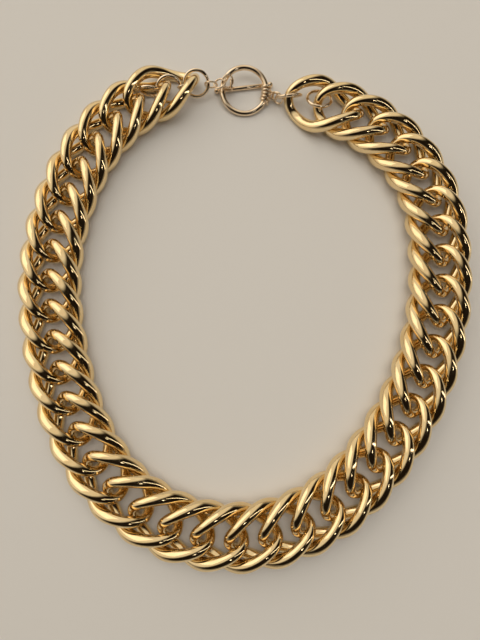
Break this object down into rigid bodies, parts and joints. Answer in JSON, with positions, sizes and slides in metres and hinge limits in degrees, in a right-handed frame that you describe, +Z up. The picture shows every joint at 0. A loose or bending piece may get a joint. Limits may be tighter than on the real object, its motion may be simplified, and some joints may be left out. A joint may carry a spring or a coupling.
{
  "type": "chain necklace",
  "caption": "Chain necklace of heavy twisted oval links laid in a loop, closed by a toggle bar passed through a ring, with jump rings between the end links and the clasp.",
  "frame": {"origin": "middle of the rectangle the necklace covers on the table, at the height of the table", "axes": "+Z up from the table; +Y from the middle of the chain towards the clasp, along the loop's longer side; +X to the right seen from above"},
  "size_m": [0.1602, 0.181, 0.0106],
  "materials": {
    "link_gold": "polished yellow gold plate",
    "fitting_gold": "polished gold plate, slightly paler"
  },
  "bodies": {
    "link_01": {"link_01": "link_gold"},
    "link_02": {"link_02": "link_gold"},
    "link_03": {"link_03": "link_gold"},
    "link_04": {"link_04": "link_gold"},
    "link_05": {"link_05": "link_gold"},
    "link_06": {"link_06": "link_gold"},
    "link_07": {"link_07": "link_gold"},
    "link_08": {"link_08": "link_gold"},
    "link_09": {"link_09": "link_gold"},
    "link_10": {"link_10": "link_gold"},
    "link_11": {"link_11": "link_gold"},
    "link_12": {"link_12": "link_gold"},
    "link_13": {"link_13": "link_gold"},
    "link_14": {"link_14": "link_gold"},
    "link_15": {"link_15": "link_gold"},
    "link_16": {"link_16": "link_gold"},
    "link_17": {"link_17": "link_gold"},
    "link_18": {"link_18": "link_gold"},
    "link_19": {"link_19": "link_gold"},
    "link_20": {"link_20": "link_gold"},
    "link_21": {"link_21": "link_gold"},
    "link_22": {"link_22": "link_gold"},
    "link_23": {"link_23": "link_gold"},
    "link_24": {"link_24": "link_gold"},
    "link_25": {"link_25": "link_gold"},
    "link_26": {"link_26": "link_gold"},
    "link_27": {"link_27": "link_gold"},
    "link_28": {"link_28": "link_gold"},
    "link_29": {"link_29": "link_gold"},
    "link_30": {"link_30": "link_gold"},
    "link_31": {"link_31": "link_gold"},
    "link_32": {"link_32": "link_gold"},
    "link_33": {"link_33": "link_gold"},
    "link_34": {"link_34": "link_gold"},
    "link_35": {"link_35": "link_gold"},
    "link_36": {"link_36": "link_gold"},
    "link_37": {"link_37": "link_gold"},
    "link_38": {"link_38": "link_gold"},
    "link_39": {"link_39": "link_gold"},
    "bar_ring_inner": {"bar_ring_inner": "fitting_gold"},
    "bar_ring_middle": {"bar_ring_middle": "fitting_gold"},
    "bar_ring_outer": {"bar_ring_outer": "fitting_gold"},
    "left_link_ring": {"left_link_ring": "fitting_gold"},
    "left_second_ring": {"left_second_ring": "fitting_gold"},
    "left_third_ring": {"left_third_ring": "fitting_gold"},
    "left_tiny_ring": {"left_tiny_ring": "fitting_gold"},
    "right_link_ring": {"right_link_ring": "fitting_gold"},
    "right_second_ring": {"right_second_ring": "fitting_gold"},
    "toggle_bar": {"toggle_bar": "fitting_gold"},
    "toggle_ring": {"toggle_ring": "fitting_gold", "ring_wrap": "fitting_gold"},
    "wrap_ring": {"wrap_ring": "fitting_gold"}
  },
  "joints": [
    {"name": "link_19_swing", "type": "hinge", "parent": "link_20", "child": "link_19", "pos_m": [-0.00858, -0.07897, 0.00515], "axis": [0.049, 0.9985, -0.0246], "range_deg": [-4, 4]},
    {"name": "link_18_swing", "type": "hinge", "parent": "link_19", "child": "link_18", "pos_m": [-0.01925, -0.07702, 0.00515], "axis": [-0.1153, -0.993, 0.0247], "range_deg": [-4, 4]},
    {"name": "link_17_swing", "type": "hinge", "parent": "link_18", "child": "link_17", "pos_m": [-0.02934, -0.07304, 0.00515], "axis": [0.1804, 0.9833, -0.0251], "range_deg": [-4, 4]},
    {"name": "link_16_swing", "type": "hinge", "parent": "link_17", "child": "link_16", "pos_m": [-0.03848, -0.06719, 0.00515], "axis": [-0.2436, -0.9695, 0.0257], "range_deg": [-4, 4]},
    {"name": "link_15_swing", "type": "hinge", "parent": "link_16", "child": "link_15", "pos_m": [-0.04633, -0.0597, 0.00515], "axis": [0.3039, 0.9523, -0.0266], "range_deg": [-4, 4]},
    {"name": "link_14_swing", "type": "hinge", "parent": "link_15", "child": "link_14", "pos_m": [-0.05273, -0.05092, 0.00515], "axis": [-0.3612, -0.9321, 0.0277], "range_deg": [-4, 4]},
    {"name": "link_13_swing", "type": "hinge", "parent": "link_14", "child": "link_13", "pos_m": [-0.0578, -0.0413, 0.00515], "axis": [0.4162, 0.9088, -0.0291], "range_deg": [-4, 4]},
    {"name": "link_12_swing", "type": "hinge", "parent": "link_13", "child": "link_12", "pos_m": [-0.06175, -0.03115, 0.00515], "axis": [-0.47, -0.8821, 0.0307], "range_deg": [-4, 4]},
    {"name": "link_11_swing", "type": "hinge", "parent": "link_12", "child": "link_11", "pos_m": [-0.0648, -0.0207, 0.00515], "axis": [0.5239, 0.8511, -0.0326], "range_deg": [-4, 4]},
    {"name": "link_10_swing", "type": "hinge", "parent": "link_11", "child": "link_10", "pos_m": [-0.0671, -0.01005, 0.00515], "axis": [-0.5786, -0.8148, 0.0348], "range_deg": [-4, 4]},
    {"name": "link_09_swing", "type": "hinge", "parent": "link_10", "child": "link_09", "pos_m": [-0.06853, 0.00074, 0.00515], "axis": [0.6336, 0.7728, -0.0373], "range_deg": [-4, 4]},
    {"name": "link_08_swing", "type": "hinge", "parent": "link_09", "child": "link_08", "pos_m": [-0.06888, 0.01162, 0.00515], "axis": [-0.6876, -0.7249, 0.0403], "range_deg": [-4, 4]},
    {"name": "link_07_swing", "type": "hinge", "parent": "link_08", "child": "link_07", "pos_m": [-0.06802, 0.02247, 0.00515], "axis": [0.7401, 0.671, -0.0439], "range_deg": [-4, 4]},
    {"name": "link_06_swing", "type": "hinge", "parent": "link_07", "child": "link_06", "pos_m": [-0.06598, 0.03316, 0.00515], "axis": [-0.7909, -0.6101, 0.0484], "range_deg": [-4, 4]},
    {"name": "link_05_swing", "type": "hinge", "parent": "link_06", "child": "link_05", "pos_m": [-0.06278, 0.04356, 0.00515], "axis": [0.8396, 0.5405, -0.054], "range_deg": [-4, 4]},
    {"name": "link_04_swing", "type": "hinge", "parent": "link_05", "child": "link_04", "pos_m": [-0.05832, 0.05348, 0.00515], "axis": [-0.8849, -0.4618, 0.0613], "range_deg": [-4, 4]},
    {"name": "link_03_swing", "type": "hinge", "parent": "link_04", "child": "link_03", "pos_m": [-0.05239, 0.06258, 0.00515], "axis": [0.9242, 0.3752, -0.0714], "range_deg": [-4, 4]},
    {"name": "link_02_swing", "type": "hinge", "parent": "link_03", "child": "link_02", "pos_m": [-0.04495, 0.07048, 0.00515], "axis": [-0.9553, -0.2827, 0.0862], "range_deg": [-4, 4]},
    {"name": "link_01_swing", "type": "hinge", "parent": "link_02", "child": "link_01", "pos_m": [-0.03613, 0.07679, 0.00515], "axis": [0.9762, 0.1871, -0.1099], "range_deg": [-4, 4]},
    {"name": "link_21_swing", "type": "hinge", "parent": "link_20", "child": "link_21", "pos_m": [0.00227, -0.07884, 0.00515], "axis": [-0.0177, 0.9995, -0.0246], "range_deg": [-4, 4]},
    {"name": "link_22_swing", "type": "hinge", "parent": "link_21", "child": "link_22", "pos_m": [0.01289, -0.07662, 0.00515], "axis": [0.0839, -0.9962, 0.0249], "range_deg": [-4, 4]},
    {"name": "link_23_swing", "type": "hinge", "parent": "link_22", "child": "link_23", "pos_m": [0.02289, -0.07241, 0.00515], "axis": [-0.1488, 0.9885, -0.0253], "range_deg": [-4, 4]},
    {"name": "link_24_swing", "type": "hinge", "parent": "link_23", "child": "link_24", "pos_m": [0.03192, -0.06639, 0.00515], "axis": [0.2118, -0.977, 0.0261], "range_deg": [-4, 4]},
    {"name": "link_25_swing", "type": "hinge", "parent": "link_24", "child": "link_25", "pos_m": [0.03984, -0.05895, 0.00515], "axis": [-0.2728, 0.9617, -0.027], "range_deg": [-4, 4]},
    {"name": "link_26_swing", "type": "hinge", "parent": "link_25", "child": "link_26", "pos_m": [0.04681, -0.05058, 0.00515], "axis": [0.333, -0.9425, 0.0281], "range_deg": [-4, 4]},
    {"name": "link_27_swing", "type": "hinge", "parent": "link_26", "child": "link_27", "pos_m": [0.05291, -0.04157, 0.00515], "axis": [-0.3929, 0.9191, -0.0294], "range_deg": [-4, 4]},
    {"name": "link_28_swing", "type": "hinge", "parent": "link_27", "child": "link_28", "pos_m": [0.05809, -0.03199, 0.00515], "axis": [0.4525, -0.8912, 0.0308], "range_deg": [-4, 4]},
    {"name": "link_29_swing", "type": "hinge", "parent": "link_28", "child": "link_29", "pos_m": [0.06229, -0.02195, 0.00515], "axis": [-0.5116, 0.8586, -0.0325], "range_deg": [-4, 4]},
    {"name": "link_30_swing", "type": "hinge", "parent": "link_29", "child": "link_30", "pos_m": [0.06547, -0.01154, 0.00515], "axis": [0.5701, -0.8209, 0.0345], "range_deg": [-4, 4]},
    {"name": "link_31_swing", "type": "hinge", "parent": "link_30", "child": "link_31", "pos_m": [0.06761, -0.00086, 0.00515], "axis": [-0.6278, 0.7775, -0.0368], "range_deg": [-4, 4]},
    {"name": "link_32_swing", "type": "hinge", "parent": "link_31", "child": "link_32", "pos_m": [0.06871, 0.00997, 0.00515], "axis": [0.6849, -0.7276, 0.0395], "range_deg": [-4, 4]},
    {"name": "link_33_swing", "type": "hinge", "parent": "link_32", "child": "link_33", "pos_m": [0.06884, 0.02086, 0.00515], "axis": [-0.7413, 0.6698, -0.0427], "range_deg": [-4, 4]},
    {"name": "link_34_swing", "type": "hinge", "parent": "link_33", "child": "link_34", "pos_m": [0.06772, 0.03167, 0.00515], "axis": [0.7953, -0.6045, 0.0466], "range_deg": [-4, 4]},
    {"name": "link_35_swing", "type": "hinge", "parent": "link_34", "child": "link_35", "pos_m": [0.06473, 0.0421, 0.00515], "axis": [-0.8429, 0.5355, -0.0516], "range_deg": [-4, 4]},
    {"name": "link_36_swing", "type": "hinge", "parent": "link_35", "child": "link_36", "pos_m": [0.05967, 0.05169, 0.00515], "axis": [0.8822, -0.4671, 0.0585], "range_deg": [-4, 4]},
    {"name": "link_37_swing", "type": "hinge", "parent": "link_36", "child": "link_37", "pos_m": [0.05276, 0.06004, 0.00515], "axis": [-0.9127, 0.403, -0.0684], "range_deg": [-4, 4]},
    {"name": "link_38_swing", "type": "hinge", "parent": "link_37", "child": "link_38", "pos_m": [0.04429, 0.0668, 0.00515], "axis": [0.9333, -0.3492, 0.0832], "range_deg": [-4, 4]},
    {"name": "link_39_swing", "type": "hinge", "parent": "link_38", "child": "link_39", "pos_m": [0.03461, 0.07169, 0.00515], "axis": [-0.9419, 0.3185, -0.107], "range_deg": [-4, 4]},
    {"name": "left_link_ring_swing", "type": "hinge", "parent": "link_01", "child": "left_link_ring", "pos_m": [-0.02086, 0.08378, 0.00819], "axis": [0.9446, -0.0083, -0.3282], "range_deg": [-3, 5]},
    {"name": "bar_ring_outer_swing", "type": "hinge", "parent": "left_link_ring", "child": "bar_ring_outer", "pos_m": [-0.01443, 0.08183, 0.00636], "axis": [-0.9291, -0.1192, 0.3501], "range_deg": [-8, 8]},
    {"name": "bar_ring_middle_swing", "type": "hinge", "parent": "bar_ring_outer", "child": "bar_ring_middle", "pos_m": [-0.01123, 0.08181, 0.00572], "axis": [0.9079, 0.1527, -0.3903], "range_deg": [-8, 8]},
    {"name": "bar_ring_inner_swing", "type": "hinge", "parent": "bar_ring_middle", "child": "bar_ring_inner", "pos_m": [-0.008, 0.08291, 0.0068], "axis": [-0.7924, -0.0741, 0.6055], "range_deg": [-8, 8]},
    {"name": "toggle_bar_swing", "type": "hinge", "parent": "bar_ring_inner", "child": "toggle_bar", "pos_m": [-0.00509, 0.08388, 0.00546], "axis": [0.7204, -0.0452, -0.692], "range_deg": [-8, 5]},
    {"name": "left_tiny_ring_swing", "type": "hinge", "parent": "left_link_ring", "child": "left_tiny_ring", "pos_m": [-0.02227, 0.08152, 0.00489], "axis": [-0.8824, -0.2993, 0.363], "range_deg": [-10, 10]},
    {"name": "left_second_ring_swing", "type": "hinge", "parent": "link_02", "child": "left_second_ring", "pos_m": [-0.0316, 0.08219, 0.00651], "axis": [0.7761, -0.5333, -0.3365], "range_deg": [-6, 3]},
    {"name": "left_third_ring_swing", "type": "hinge", "parent": "left_second_ring", "child": "left_third_ring", "pos_m": [-0.03218, 0.0788, 0.00464], "axis": [-0.9766, 0.2047, 0.0653], "range_deg": [-5, 10]},
    {"name": "right_link_ring_swing", "type": "hinge", "parent": "link_39", "child": "right_link_ring", "pos_m": [0.01976, 0.07754, 0.00693], "axis": [-0.9249, 0.2751, -0.2624], "range_deg": [-6, 6]},
    {"name": "wrap_ring_swing", "type": "hinge", "parent": "right_link_ring", "child": "wrap_ring", "pos_m": [0.01298, 0.07822, 0.00419], "axis": [0.9102, -0.3608, 0.2036], "range_deg": [-6, 6]},
    {"name": "toggle_ring_swing", "type": "hinge", "parent": "wrap_ring", "child": "toggle_ring", "pos_m": [0.01024, 0.0799, 0.0026], "axis": [-0.9389, 0.3205, -0.1252], "range_deg": [-6, 6]},
    {"name": "right_second_ring_swing", "type": "hinge", "parent": "link_38", "child": "right_second_ring", "pos_m": [0.03114, 0.07736, 0.00554], "axis": [-0.9357, -0.3527, -0.0109], "range_deg": [-10, 10]}
  ]
}
